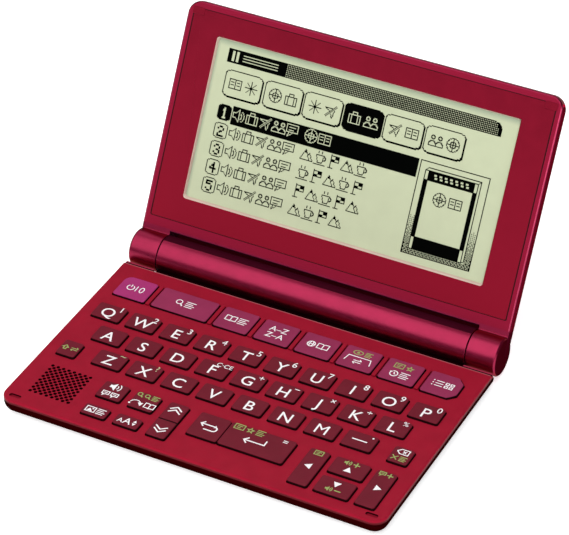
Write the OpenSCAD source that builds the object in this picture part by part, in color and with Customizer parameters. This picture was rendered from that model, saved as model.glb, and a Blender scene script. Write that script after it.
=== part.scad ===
// Pocket electronic dictionary: a clamshell with a keyboard base, a round hinge barrel that holds
// the batteries, and a lid with a monochrome display. Millimetres.
// +X to the user's right, +Y away from the user, +Z up. The origin is on the table, midway between
// the front edge of the base and the rearmost point of the open lid.

/* [Keys] */
// Distance from one letter key to the next in a row
key_pitch = 13.4; // [12.6:0.1:14.4]
// Width of a letter key
cap_w = 10.85; // [9.6:0.05:11.4]
// Depth of a letter key, front to back
cap_d = 7.7; // [6.8:0.1:8.8]
// Distance from one letter row to the next
row_pitch = 11.35; // [10.4:0.05:12.4]
// Bare deck between the body's side and the outermost key
side_margin = 5.3; // [4.6:0.1:7.2]
// Bare deck between the front edge and the nearest keys
front_margin = 4.8; // [4.6:0.1:8]
// Bare deck between the letter block and the blocks before and behind it
block_gap = 6.2; // [4:0.1:9]
// Bare deck behind the function keys
rear_margin = 7; // [4:0.1:10]
// Width of the shift and delete keys at the two ends of the third letter row
side_key_w = 7.1; // [6:0.1:7.6]
// How far the shift and delete keys sit forward of their row
side_key_drop = 0.7; // [0:0.1:1.5]
// Depth of the function keys
fn_d = 11.1; // [9:0.1:13]
// Width of the wide look-up key
lookup_w = 21.9; // [18:0.1:24]
// Width of the first and last function keys
fn_end_w = 12.7; // [11:0.1:14]
// Rib of the deck between two function keys
fn_gap = 2.4; // [1.9:0.1:3]
// How far the function row stops short of the letter rows at each end
fn_inset = 0.5; // [0:0.1:2]
// Corner radius of the first function key's outer back corner
fn_round = 3; // [1.2:0.1:4]
// Chamfer on the last function key's two outer corners
fn_chamfer = 2.6; // [1:0.1:4]
// Height of a key above the deck
key_rise = 1; // [0.6:0.05:1.1]
// Travel of a pressed key
key_travel = 0.6; // [0.3:0.05:0.6]
// Corner radius of a key
cap_r = 0.9; // [0.5:0.1:1.5]
// Gap round a key in its opening
key_gap = 0.25; // [0.15:0.05:0.35]
// Width of the lip that keeps a key under the deck
key_lip = 0.5; // [0.3:0.05:0.7]
// Thickness of that lip
key_lip_t = 0.4; // [0.3:0.05:0.5]

/* [Lower key cluster] */
// Depth of the cluster, and of its tall keys
cluster_d = 18; // [17:0.1:20]
// First small key, measured from the left end of the letter rows
small_x = 23.5; // [23:0.1:25]
// Distance between the two columns of small keys
small_pitch = 12.15; // [11.5:0.05:12.5]
// Width of a small key
small_w = 9.15; // [8:0.05:9.6]
// Depth of the small keys in the back row
small_d = 8.1; // [7:0.1:9]
// Depth of the small keys in the front row
low_small_d = 5.1; // [4.4:0.1:6.4]
// Gap between the small keys and the page rocker
page_gap = 3.4; // [2:0.1:4]
// Width of the page rocker and of the left and right arrow keys
tall_w = 7.1; // [6:0.1:8]
// Gap between the page rocker and the back key
back_gap = 4.5; // [3:0.1:5.5]
// Width of the back key
back_w = 11.3; // [10:0.1:12]
// Gap between the enter key and the left arrow key
enter_gap = 5.05; // [3:0.05:7]
// Depth of the back and enter keys
enter_d = 11.7; // [10:0.1:14]
// Slit between the back key and the enter key
pair_gap = 0.3; // [0.2:0.05:0.5]
// Width of the up and down arrow keys
arrow_w = 12.4; // [11:0.1:13]
// Rib of the deck between the up and down arrow keys
arrow_rib = 2.4; // [1.8:0.1:4]
// Rib of the deck between the up and down keys and the keys beside them
arrow_gap = 2.3; // [2:0.1:2.8]
// Width of the groove across the page rocker
groove_w = 0.6; // [0.3:0.05:1]
// Depth of that groove
groove_depth = 0.35; // [0.1:0.05:0.6]

/* [Base] */
// Height of the key deck's own side wall
deck_side_h = 2.1; // [2.1:0.1:2.3]
// Thickness of the deck
deck_t = 1.5; // [1.2:0.05:1.5]
// Corner radius of the base in plan
base_corner_r = 5; // [4.6:0.1:8]
// Straight side left between the key deck and the rounding of the underside
tuck_side = 0.2; // [0.1:0.05:0.5]
// Rounding of the deck's outer top edge
deck_edge_r = 0.8; // [0.3:0.1:1.2]
// Wall of the base and of its floor
wall = 1.3; // [1:0.05:1.4]
// Height of a foot below the underside
foot_h = 0.5; // [0.3:0.05:1]
// Radius of a foot
foot_r = 3.2; // [2.4:0.1:3.4]
// Depth of the recess that holds a foot
foot_sink = 0.3; // [0.2:0.05:0.5]
// Length of the catch slots at the front corners
slot_l = 4.4; // [3:0.1:5]
// Width of the catch slots
slot_w = 1.6; // [0.8:0.1:1.8]
// Depth of the catch slots
slot_depth = 0.7; // [0.3:0.1:1]
// Distance of the catch slots from the front edge
slot_y = 2.2; // [1.2:0.05:2.7]

/* [Hinge barrel] */
// Wall of the hinge barrel round the battery bay
barrel_wall = 1.35; // [1.1:0.05:1.6]
// Gap between the back edge of the deck and the barrel
barrel_gap = 2.6; // [2:0.05:4]
// Height of the hinge axis above the deck
axis_rise = 0.9; // [0.9:0.05:1.4]
// Length of the lid's knuckle at each end
knuckle_l = 11; // [9:0.1:12]
// Distance of a knuckle's end from the side of the body
knuckle_inset = 0.3; // [0.1:0.05:1]
// Gap between a knuckle and the middle barrel
knuckle_gap = 0.3; // [0.2:0.05:0.6]
// Chamfer on a knuckle's outer end
knuckle_edge = 0.6; // [0.3:0.1:1.2]
// Running gap between a knuckle and the ledge in front of it
knuckle_run = 0.65; // [0.4:0.05:1]
// Slot between the middle barrel and the lid
lid_slot = 1.3; // [0.6:0.05:2]
// Radius of a hinge pin
pin_r = 1.6; // [1:0.05:2.2]
// Solid barrel left between the battery bay and a pin
pin_wall = 3.5; // [2:0.1:6]
// Solid knuckle left beyond a pin
pin_cover = 4; // [2:0.1:6]
// Running clearance round a pin in the barrel
pin_run = 0.05; // [0.02:0.01:0.1]
// Room left beyond each end of a pin
pin_end = 0.3; // [0.1:0.05:0.5]
// Step of the base down to the ledge before the barrel
ledge_drop = 0.6; // [0.4:0.05:1.2]
// Seam between the back edge of the deck and the ledge
ledge_seam = 0.2; // [0.1:0.05:0.4]

/* [Batteries] */
// Diameter of a battery
cell_d = 10.5; // [10:0.1:10.5]
// Length of a battery
cell_l = 44.5; // [42:0.1:44.5]
// Gap round a battery in its bay
cell_gap = 0.3; // [0.2:0.05:0.35]
// Room for a contact at each end of the pair
contact_room = 2.4; // [1.6:0.1:3]
// Gap round the battery door
door_gap = 0.15; // [0.1:0.05:0.3]
// How far below the hinge axis the door's rear edge ends
door_drop = 0.2; // [0.1:0.05:0.6]

/* [Lid] */
// Opening angle of the lid at rest
lid_open = 119.1; // [90:0.1:140]
// How much shorter the lid is than the base, at the front
front_lip = 3.4; // [0:0.05:8]
// Thickness of the lid
lid_t = 6.2; // [5.6:0.1:6.2]
// Gap between the hinge axis and the lid's inner face
lid_gap = 0.5; // [0.5:0.05:0.6]
// Corner radius of the lid in plan
lid_corner_r = 5; // [4:0.1:8]
// Rounding of the lid's outer edges
lid_back_r = 3.6; // [1.5:0.1:4]
// Rounding of the lid's inner edges
lid_rim_r = 1; // [0.4:0.1:1.4]
// Width of the rim round the bezel panel
rim_w = 2.5; // [2.2:0.1:4]
// Distance from the hinge axis to the lower edge of the bezel panel
bezel_v = 12.3; // [11:0.1:14]
// Thickness of the bezel panel, which is the recess of the display
bezel_t = 0.9; // [0.7:0.05:1.2]
// Ledge that carries the bezel panel's edge
bezel_ledge = 1.5; // [1:0.1:2.5]
// Gap round the bezel panel
bezel_gap = 0.1; // [0.05:0.05:0.2]
// Corner radius at the bezel panel's lower end
bezel_low_r = 0.6; // [0.3:0.1:2]
// Bezel to the left and right of the display window, from the side of the body
window_side = 13.5; // [12:0.1:20]
// Distance from the hinge axis to the window's lower edge
window_v = 21.6; // [20:0.1:26]
// Distance from the window's upper edge to the lid's free edge
window_top = 10.45; // [9:0.05:16]
// Thickness of the display module
display_t = 2.8; // [2:0.1:3]
// How far the display module runs past its window
display_over = 2.4; // [1:0.1:3]

/* [Speaker] */
// Middle of the grille, measured from the left end of the letter rows
grille_x = 9.9; // [9.6:0.1:11]
// Middle of the grille, measured from the front edge
grille_y = 15.15; // [14.4:0.05:16]
// Distance between two holes in a line of the grille
grille_pitch = 2.1; // [1.8:0.05:2.2]
// Radius of a grille hole
grille_hole_r = 0.6; // [0.3:0.05:0.6]
// Radius of the speaker
speaker_r = 8; // [7:0.1:8.4]
// Thickness of the speaker's frame
speaker_t = 2; // [1.6:0.1:2]
// Gap between the speaker's magnet and the floor
speaker_gap = 0.5; // [0.3:0.05:0.8]

/* [Electronics] */
// Thickness of the circuit board
board_t = 1; // [0.8:0.1:1]
// Thickness of the rubber key mat
mat_t = 0.5; // [0.3:0.05:0.5]
// Height of the mat's pad under each key
pad_h = 0.2; // [0.1:0.05:0.2]
// Width of a chip on the board's underside
chip_w = 14; // [8:0.5:18]
// Room for the chips between the floor and the board
board_room = 0.8; // [0.6:0.05:1.4]
// Thickness of the contact plates of the batteries
contact_t = 0.4; // [0.2:0.05:0.6]

/* [Hidden] */

$fn = 96;
// Overshoot of a cut past the surface that it leaves through
cut = 1;
// Overlap that keeps two joined cuts from only touching
sliver = 0.01;
case_colour = [0.6, 0.09, 0.16];
lid_colour = [0.54, 0.1, 0.17];
letter_colour = [0.42, 0.11, 0.18];
function_colour = [0.58, 0.18, 0.36];

// Layout across the body, x from the middle
row_count = [10, 9, 8];
row_w = (row_count[0] - 1) * key_pitch + cap_w;
body_w = row_w + 2 * side_margin;
row_x0 = -row_w / 2;
row_x1 = row_w / 2;
fn_w = (row_w - 2 * fn_inset - lookup_w - 2 * fn_end_w - 7 * fn_gap) / 5;

// Layout along the deck, y from the front edge
cluster_y = front_margin;
cluster_back = cluster_y + cluster_d;
letters_y = cluster_back + block_gap;
function_y = letters_y + 2 * row_pitch + cap_d + block_gap;
deck_d = function_y + fn_d + rear_margin;
barrel_r = cell_d / 2 + cell_gap + barrel_wall;
axis_y = deck_d + barrel_gap + barrel_r;
lid_l = axis_y - front_lip;
window_h = lid_l - window_top - window_v;

// Heights above the table, from the floor up: board, mat, pads, key lips, deck
// A key's lip hangs this far below the deck at rest
lip_slack = 0.15;
// Clearance that is left between a pressed key and the mat
press_gap = 0.05;
floor_z = foot_h + wall;
board_z = floor_z + board_room;
board_top = board_z + board_t;
mat_top = board_top + mat_t;
pad_top = mat_top + pad_h;
key_bottom = pad_top + press_gap + key_travel;
deck_under = key_bottom + key_lip_t + lip_slack;
deck_z = deck_under + deck_t;
base_h = deck_z - foot_h;
base_tuck_r = base_h - deck_side_h - tuck_side;
case_top = deck_z - deck_side_h;
axis_z = deck_z + axis_rise;
barrel_z = axis_z - barrel_r;
ledge_z = deck_z - ledge_drop;
key_top = deck_z + key_rise;

// The open lid's rearmost point sets the middle of the whole part
lid_rear = axis_y - cos(lid_open) * (lid_l - lid_back_r)
    + sin(lid_open) * (lid_gap + lid_t - lid_back_r) + lid_back_r;
mid_y = lid_rear / 2;

// Hinge barrel, x from the middle
knuckle_x1 = body_w / 2 - knuckle_inset;
knuckle_x0 = knuckle_x1 - knuckle_l;
barrel_x = knuckle_x0 - knuckle_gap;
ledge_y = axis_y - barrel_r - knuckle_run;
bay_r = cell_d / 2 + cell_gap;
bay_x = cell_l + contact_room;
pin_bore = barrel_x - bay_x - pin_wall;
knuckle_bore = knuckle_l - pin_cover;
// Clearance of a pin in the knuckle that holds it
pin_fit = 0.02;

// Rectangles of the keys, each [left, front, width, depth]
function letter_rect(row, col) = [
    row_x0 + (col + row / 2) * key_pitch, letters_y + (2 - row) * row_pitch, cap_w, cap_d];
fn_x0 = row_x0 + fn_inset;
fn_x2 = fn_x0 + fn_end_w + lookup_w + 2 * fn_gap;
function fn_rect(i) =
    i == 0 ? [fn_x0, function_y, fn_end_w, fn_d] :
    i == 1 ? [fn_x0 + fn_end_w + fn_gap, function_y, lookup_w, fn_d] :
    [fn_x2 + (i - 2) * (fn_w + fn_gap), function_y, i == 7 ? fn_end_w : fn_w, fn_d];
shift_rect = [row_x0, letters_y - side_key_drop, side_key_w, cap_d];
delete_rect = [row_x1 - side_key_w, letters_y - side_key_drop, side_key_w, cap_d];
voice_rect = [row_x0 + small_x, cluster_back - small_d, small_w, small_d];
jump_rect = [voice_rect[0] + small_pitch, voice_rect[1], small_w, small_d];
figure_rect = [voice_rect[0], cluster_y, small_w, low_small_d];
text_size_rect = [jump_rect[0], cluster_y, small_w, low_small_d];
page_rect = [jump_rect[0] + small_w + page_gap, cluster_y, tall_w, cluster_d];
back_rect = [page_rect[0] + tall_w + back_gap, cluster_back - enter_d, back_w, enter_d];
right_rect = [row_x1 - tall_w, cluster_y, tall_w, cluster_d];
arrow_d = (cluster_d - arrow_rib) / 2;
up_rect = [right_rect[0] - arrow_gap - arrow_w, cluster_back - arrow_d, arrow_w, arrow_d];
down_rect = [up_rect[0], cluster_y, arrow_w, arrow_d];
left_rect = [up_rect[0] - arrow_gap - tall_w, cluster_y, tall_w, cluster_d];
enter_x = back_rect[0] + back_w + pair_gap;
enter_rect = [enter_x, back_rect[1], left_rect[0] - enter_gap - enter_x, enter_d];
fn_rects = [for (i = [0 : 7]) fn_rect(i)];
plain_rects = concat(
    [for (row = [0 : 2]) for (col = [0 : row_count[row] - 1]) letter_rect(row, col)],
    [shift_rect, delete_rect, voice_rect, jump_rect, figure_rect, text_size_rect, page_rect,
        back_rect, enter_rect, left_rect, up_rect, down_rect, right_rect]);
page_mid_y = page_rect[1] + page_rect[3] / 2;

// Puts the front edge's frame at the part's own origin
module place() translate([0, -mid_y, 0]) children();

// Puts a lid piece, drawn closed with the hinge axis as its origin, at the open angle
module place_lid() place() translate([0, axis_y, axis_z]) rotate([-lid_open, 0, 0]) children();

// Extrudes a profile drawn in the Y-Z plane from x0 to x1
module along_x(x0, x1) translate([x0, 0, 0]) rotate([90, 0, 90]) linear_extrude(x1 - x0) children();

// Rectangle with four rounded corners
module round_rect(x0, y0, w, d, r) {
    translate([x0 + r, y0]) square([w - 2 * r, d]);
    translate([x0, y0 + r]) square([w, d - 2 * r]);
    for (x = [x0 + r, x0 + w - r], y = [y0 + r, y0 + d - r]) translate([x, y]) circle(r);
}

// Half section of a plate's edge, from the middle out to `reach`, rounded at the bottom and the top
module edge_section(reach, h, low_r, high_r) intersection() {
    square([reach, h]);
    union() {
        translate([0, low_r]) square([reach, h - low_r - high_r]);
        if (low_r > 0) {
            square([reach - low_r, 2 * low_r]);
            translate([reach - low_r, low_r]) circle(low_r);
        }
        if (high_r > 0) {
            translate([0, h - 2 * high_r]) square([reach - high_r, 2 * high_r]);
            translate([reach - high_r, h - high_r]) circle(high_r);
        }
    }
}

// Full section: the same edge on both sides of a strip of width w
module strip_section(w, h, low_r, high_r) for (side = [0, 1]) mirror([side, 0])
    edge_section(w / 2, h, low_r, high_r);

// Plate with rounded plan corners, a bottom rounding and a top rounding
module soft_plate(x0, y0, w, d, h, corner_r, low_r, high_r) translate([x0 + w / 2, y0 + d / 2, 0]) {
    along_x(-w / 2 + corner_r, w / 2 - corner_r) strip_section(d, h, low_r, high_r);
    rotate([0, 0, 90]) along_x(-d / 2 + corner_r, d / 2 - corner_r)
        strip_section(w, h, low_r, high_r);
    for (x = [-1, 1], y = [-1, 1])
        translate([x * (w / 2 - corner_r), y * (d / 2 - corner_r), 0])
            rotate_extrude() edge_section(corner_r, h, low_r, high_r);
}

// Section of the middle barrel about the hinge axis: round, with a square lower front that ends
// at the top of the case, so that a deep groove is left behind the deck
module barrel_section() {
    circle(barrel_r);
    translate([ledge_y - axis_y, -barrel_r])
        square([axis_y - ledge_y, barrel_r - (axis_z - case_top)]);
}

// Section of the battery bay, open to the square lower front
module bay_section() {
    circle(bay_r);
    translate([-bay_r, -bay_r]) square([bay_r, bay_r]);
}

// Part of the barrel's section that the door fills, less a gap on its fixed edges
module door_section(gap) translate([-bay_r + gap, -barrel_r - cut])
    square([bay_r + barrel_r + cut, barrel_r + cut - door_drop - gap]);

// Feet: two under the front corners, two under the ends of the middle barrel
module front_feet(z, h, r) for (x = [-1, 1])
    translate([x * (body_w / 2 - base_corner_r - 2 * foot_r), base_corner_r + foot_r, z])
        cylinder(r = r, h = h);
module rear_feet(z, h, r) for (x = [-1, 1])
    translate([x * (bay_x + barrel_x) / 2, (axis_y + ledge_y) / 2, z]) cylinder(r = r, h = h);

// Posts that carry the circuit board, from the floor up
post_r = 2;
module board_posts() {
    side_x = body_w / 2 - wall - 3 * post_r;
    for (y = [deck_d / 2, deck_d - 3 * post_r - wall], x = [-side_x, 0, side_x])
        translate([x, y, floor_z - cut]) cylinder(r = post_r, h = board_z - floor_z + cut);
    for (x = [row_x0 + small_x + small_w, side_x])
        translate([x, wall + 3 * post_r, floor_z - cut])
            cylinder(r = post_r, h = board_z - floor_z + cut);
}

module bottom_case() color(case_colour) place() difference() {
    union() {
        difference() {
            translate([0, 0, foot_h]) soft_plate(-body_w / 2, 0, body_w, axis_y, case_top - foot_h,
                base_corner_r, base_tuck_r, 0);
            translate([0, 0, floor_z]) soft_plate(-body_w / 2 + wall, wall, body_w - 2 * wall,
                deck_d - 2 * wall, base_h, base_corner_r - wall, base_tuck_r - wall, 0);
            translate([-body_w, ledge_y, -cut]) cube([2 * body_w, axis_y, base_h + 2 * cut]);
        }
        board_posts();
        for (x = [-knuckle_x1, knuckle_x1 - knuckle_l])
            translate([x, deck_d + ledge_seam, case_top - cut])
                cube([knuckle_l, ledge_y - deck_d - ledge_seam, ledge_z - case_top + cut]);
        translate([0, axis_y, axis_z]) along_x(-barrel_x, barrel_x) barrel_section();
    }
    translate([0, axis_y, axis_z]) along_x(-bay_x, bay_x) {
        bay_section();
        door_section(0);
    }
    for (side = [-1, 1]) translate([side * (barrel_x + cut), axis_y, axis_z])
        rotate([0, -side * 90, 0]) cylinder(r = pin_r + pin_run, h = pin_bore + cut);
    front_feet(foot_h - cut, foot_sink + cut, foot_r);
    rear_feet(barrel_z - cut, foot_sink + cut, foot_r);
}

// Plan of a key, grown on every side by its running gap for its opening
module key_plan(k, grow) round_rect(k[0] - grow, k[1] - grow, k[2] + 2 * grow, k[3] + 2 * grow,
    cap_r);

// Plan of a function key: the first is rounder at its outer back corner, the last is chamfered
module function_plan(i, grow) {
    k = fn_rect(i);
    left = k[0] - grow;
    right = k[0] + k[2] + grow;
    back = k[1] + k[3] + grow;
    if (i == 0) {
        difference() {
            key_plan(k, grow);
            translate([left - cut, back - fn_round]) square([fn_round + cut, fn_round + cut]);
        }
        translate([left + fn_round, back - fn_round]) circle(fn_round);
    } else if (i == 7) difference() {
        key_plan(k, grow);
        for (end = [0, 1]) translate([right, end * back + (1 - end) * (k[1] - grow)])
            rotate(45) square(sqrt(2) * fn_chamfer, center = true);
    } else key_plan(k, grow);
}

module key_openings() {
    for (k = plain_rects) key_plan(k, key_gap);
    for (i = [0 : 7]) function_plan(i, key_gap);
}

// Staggered square of holes over the speaker
grille_lines = 8;
module grille() translate([row_x0 + grille_x, grille_y, deck_under - cut])
    for (shift = [0, 1], i = [0 : grille_lines - 1 - shift], j = [0 : grille_lines - 1 - shift])
        translate([(i - (grille_lines - 1 - shift) / 2) * grille_pitch,
            (j - (grille_lines - 1 - shift) / 2) * grille_pitch, 0])
            cylinder(r = grille_hole_r, h = deck_t + 2 * cut);

module catch_slots() for (side = [-1, 1])
    translate([side * (body_w / 2 - base_corner_r), slot_y, deck_z - slot_depth])
        linear_extrude(slot_depth + cut)
            round_rect(-slot_l / 2, 0, slot_l, slot_w, slot_w / 2 - sliver);

module key_deck() color(case_colour) place() difference() {
    translate([0, 0, case_top]) soft_plate(-body_w / 2, 0, body_w, axis_y, deck_side_h,
        base_corner_r, 0, deck_edge_r);
    translate([-body_w, deck_d, 0]) cube([2 * body_w, axis_y, 2 * base_h]);
    translate([0, 0, case_top - cut]) linear_extrude(deck_under - case_top + cut)
        round_rect(-body_w / 2 + wall, wall, body_w - 2 * wall, deck_d - 2 * wall,
            base_corner_r - wall);
    translate([0, 0, deck_under - cut]) linear_extrude(deck_t + 2 * cut) key_openings();
    grille();
    catch_slots();
}

// Plan of the board and mat: the inside of the case, less the speaker's corner
inner_gap = 1;
board_corner_r = 2;
module board_plan(inset) difference() {
    round_rect(-body_w / 2 + wall + inset, wall + inset, body_w - 2 * wall - 2 * inset,
        deck_d - 2 * wall - 2 * inset, board_corner_r);
    translate([-body_w, -cut])
        square([body_w + row_x0 + small_x - key_lip - inner_gap, grille_y + speaker_r + inner_gap]);
}

// Rubber mat with a round pad under each key
mat_inset = 0.2;
pad_edge = 1;
module key_mat() color([0.75, 0.74, 0.7]) place() {
    translate([0, 0, board_top]) linear_extrude(mat_t) board_plan(base_tuck_r - wall + mat_inset);
    for (k = concat(plain_rects, fn_rects))
        translate([k[0] + k[2] / 2, k[1] + k[3] / 2, mat_top - mat_t / 2])
            cylinder(r = min(k[2], k[3]) / 2 - pad_edge, h = mat_t / 2 + pad_h);
}

// Board with two chips under it, and the contact plate and spring at each end of the battery bay
chip_x = [-1.5 * chip_w, chip_w];
chip_h = 0.9 * board_room;
contact_inset = 1;
spring_play = 0.1;
module main_board() place() {
    color([0.1, 0.35, 0.2]) translate([0, 0, board_z]) linear_extrude(board_t)
        board_plan(base_tuck_r - wall);
    color([0.1, 0.1, 0.1]) for (x = chip_x) translate([x, letters_y, board_z - chip_h])
        cube([chip_w, chip_w, chip_h]);
    color([0.8, 0.8, 0.8]) translate([0, axis_y, axis_z]) for (side = [-1, 1])
        rotate([0, side * 90, 0]) {
            translate([0, 0, bay_x - contact_t]) cylinder(r = bay_r - contact_inset, h = contact_t);
            translate([0, 0, cell_l + spring_play])
                cylinder(r = cell_d / 4, h = contact_room - contact_t - spring_play);
        }
}

magnet_t = deck_under - speaker_t - speaker_gap - floor_z;
module speaker() color([0.25, 0.25, 0.27]) place()
    translate([row_x0 + grille_x, grille_y, deck_under - speaker_t]) {
        cylinder(r = speaker_r, h = speaker_t);
        translate([0, 0, -magnet_t]) cylinder(r = speaker_r / 2, h = magnet_t + speaker_t / 2);
    }

// Two cells end to end, each with a raised button on its right end
button_l = 0.8;
cell_slit = 0.1;
module batteries() color([0.2, 0.4, 0.6]) place() translate([0, axis_y, axis_z]) for (i = [-1, 0])
    translate([i * cell_l + cell_slit / 2, 0, 0]) rotate([0, 90, 0]) {
        cylinder(r = cell_d / 2, h = cell_l - cell_slit - button_l);
        cylinder(r = cell_d / 5, h = cell_l - cell_slit);
    }

module battery_door() color(case_colour) place() translate([0, axis_y, axis_z])
    along_x(-bay_x + door_gap, bay_x - door_gap) intersection() {
        difference() {
            barrel_section();
            bay_section();
        }
        door_section(door_gap);
    }

// Lid pieces, drawn closed: the hinge axis is the origin and the lid runs towards -Y
module lid_cover() color(lid_colour) place_lid() difference() {
    union() {
        difference() {
            translate([0, 0, lid_gap]) soft_plate(-body_w / 2, -lid_l, body_w, lid_l + body_w,
                lid_t, lid_corner_r, lid_rim_r, lid_back_r);
            translate([-body_w, 0, -cut]) cube([2 * body_w, 2 * body_w, 2 * lid_t]);
        }
        for (side = [-1, 1]) rotate([0, side * 90, 0]) {
            translate([0, 0, knuckle_x0]) cylinder(r = barrel_r, h = knuckle_l - knuckle_edge);
            translate([0, 0, knuckle_x1 - knuckle_edge])
                cylinder(r1 = barrel_r, r2 = barrel_r - knuckle_edge, h = knuckle_edge);
        }
    }
    rotate([0, 90, 0]) cylinder(r = barrel_r + lid_slot, h = 2 * knuckle_x0, center = true);
    for (side = [-1, 1]) rotate([0, side * 90, 0]) translate([0, 0, knuckle_x0 - cut])
        cylinder(r = pin_r + pin_fit, h = knuckle_bore + cut);
    lid_cavity();
}

// Plan of the bezel panel, with tighter corners at its lower end
module bezel_plan(inset) {
    panel_w = body_w - 2 * rim_w - 2 * inset;
    panel_l = lid_l - rim_w - bezel_v - 2 * inset;
    y0 = -lid_l + rim_w + inset;
    round_rect(-panel_w / 2, y0, panel_w, panel_l, lid_corner_r - rim_w);
    round_rect(-panel_w / 2, y0 + panel_l / 2, panel_w, panel_l / 2, bezel_low_r);
}

// Shallow seat for the bezel panel, and the hollow behind it
cavity_corner_r = 1;
module lid_cavity() {
    panel_w = body_w - 2 * rim_w;
    panel_l = lid_l - rim_w - bezel_v;
    translate([0, 0, lid_gap - cut]) linear_extrude(bezel_t + cut) bezel_plan(0);
    translate([0, 0, lid_gap + bezel_t - sliver]) linear_extrude(lid_t - bezel_t - wall)
        round_rect(-panel_w / 2 + bezel_ledge, -lid_l + rim_w + bezel_ledge,
            panel_w - 2 * bezel_ledge, panel_l - 2 * bezel_ledge, cavity_corner_r);
}

module lid_bezel() color(lid_colour) place_lid() translate([0, 0, lid_gap]) linear_extrude(bezel_t)
    difference() {
        bezel_plan(bezel_gap);
        translate([-body_w / 2 + window_side, -window_v - window_h])
            square([body_w - 2 * window_side, window_h]);
    }

module display() color([0.8, 0.83, 0.7]) place_lid() translate([-body_w / 2 + window_side
    - display_over, -window_v - window_h - display_over, lid_gap + bezel_t])
    cube([body_w - 2 * window_side + 2 * display_over, window_h + 2 * display_over, display_t]);

module hinge_pins() color([0.7, 0.7, 0.72]) place() translate([0, axis_y, axis_z])
    for (side = [-1, 1]) rotate([0, side * 90, 0])
        translate([0, 0, barrel_x - pin_bore + pin_end])
            cylinder(r = pin_r, h = pin_bore + knuckle_gap + knuckle_bore - 2 * pin_end);

// Clearance of a foot in its recess
foot_fit = 0.1;
module rubber_feet() color([0.1, 0.1, 0.1]) place() {
    front_feet(0, foot_h + foot_sink, foot_r - foot_fit);
    rear_feet(0, barrel_z + foot_sink, foot_r - foot_fit);
}

// A key's lip under the deck; open_side -1 or 1 leaves it off on the left or the right
module key_lip_plate(k, open_side = 0) {
    left = open_side < 0 ? 0 : key_lip;
    right = open_side > 0 ? 0 : key_lip;
    translate([k[0] - left, k[1] - key_lip, key_bottom])
        cube([k[2] + left + right, k[3] + 2 * key_lip, key_lip_t]);
}

module key(k, open_side = 0) color(letter_colour) place() {
    translate([0, 0, key_bottom]) linear_extrude(key_top - key_bottom) key_plan(k, 0);
    key_lip_plate(k, open_side);
}

module letter_key(row, col) key(letter_rect(row, col));

module function_key(i) color(function_colour) place() {
    translate([0, 0, key_bottom]) linear_extrude(key_top - key_bottom) function_plan(i, 0);
    key_lip_plate(fn_rect(i));
}

// Page rocker: one long cap with a groove across its middle and a round pivot on each side
pivot_r = key_lip_t / 2 + press_gap;
module page_rocker() color(letter_colour) place() difference() {
    union() {
        translate([0, 0, key_bottom]) linear_extrude(key_top - key_bottom) key_plan(page_rect, 0);
        translate([0, page_mid_y, key_bottom + pivot_r])
            along_x(page_rect[0] - key_lip, page_rect[0] + page_rect[2] + key_lip) circle(pivot_r);
    }
    translate([page_rect[0] - cut, page_mid_y - groove_w / 2, key_top - groove_depth])
        cube([page_rect[2] + 2 * cut, groove_w, groove_depth + cut]);
}

module key_power() function_key(0);
module key_lookup() function_key(1);
module key_book_1() function_key(2);
module key_book_2() function_key(3);
module key_book_3() function_key(4);
module key_switch() function_key(5);
module key_history() function_key(6);
module key_menu() function_key(7);

module key_q() letter_key(0, 0);
module key_w() letter_key(0, 1);
module key_e() letter_key(0, 2);
module key_r() letter_key(0, 3);
module key_t() letter_key(0, 4);
module key_y() letter_key(0, 5);
module key_u() letter_key(0, 6);
module key_i() letter_key(0, 7);
module key_o() letter_key(0, 8);
module key_p() letter_key(0, 9);
module key_a() letter_key(1, 0);
module key_s() letter_key(1, 1);
module key_d() letter_key(1, 2);
module key_f() letter_key(1, 3);
module key_g() letter_key(1, 4);
module key_h() letter_key(1, 5);
module key_j() letter_key(1, 6);
module key_k() letter_key(1, 7);
module key_l() letter_key(1, 8);
module key_z() letter_key(2, 0);
module key_x() letter_key(2, 1);
module key_c() letter_key(2, 2);
module key_v() letter_key(2, 3);
module key_b() letter_key(2, 4);
module key_n() letter_key(2, 5);
module key_m() letter_key(2, 6);
module key_dash() letter_key(2, 7);

module key_shift() key(shift_rect);
module key_delete() key(delete_rect);
module key_voice() key(voice_rect);
module key_jump() key(jump_rect);
module key_figure() key(figure_rect);
module key_text_size() key(text_size_rect);
module key_back() key(back_rect, 1);
module key_enter() key(enter_rect, -1);
module key_left() key(left_rect);
module key_up() key(up_rect);
module key_down() key(down_rect);
module key_right() key(right_rect);

bottom_case();
key_deck();
key_mat();
main_board();
speaker();
batteries();
battery_door();
lid_cover();
lid_bezel();
display();
hinge_pins();
rubber_feet();
key_power();
key_lookup();
key_book_1();
key_book_2();
key_book_3();
key_switch();
key_history();
key_menu();
key_q();
key_w();
key_e();
key_r();
key_t();
key_y();
key_u();
key_i();
key_o();
key_p();
key_a();
key_s();
key_d();
key_f();
key_g();
key_h();
key_j();
key_k();
key_l();
key_z();
key_x();
key_c();
key_v();
key_b();
key_n();
key_m();
key_dash();
key_shift();
key_delete();
key_voice();
key_jump();
key_figure();
key_text_size();
page_rocker();
key_back();
key_enter();
key_left();
key_up();
key_down();
key_right();
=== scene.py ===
# %% [markdown]
# # A pocket electronic dictionary
# The real thing is a small clamshell: a keyboard base, a round barrel at the back that holds the
# batteries, and a lid with a grey-green display. Its plates were drawn as exact solids first. This
# lesson keeps every plate whose shape is right and rebuilds the keys, because a key's soft edge and
# its printed legend are what the eye rests on.

# %% Load the solids
import math

import bpy
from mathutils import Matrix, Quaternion, Vector


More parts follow.
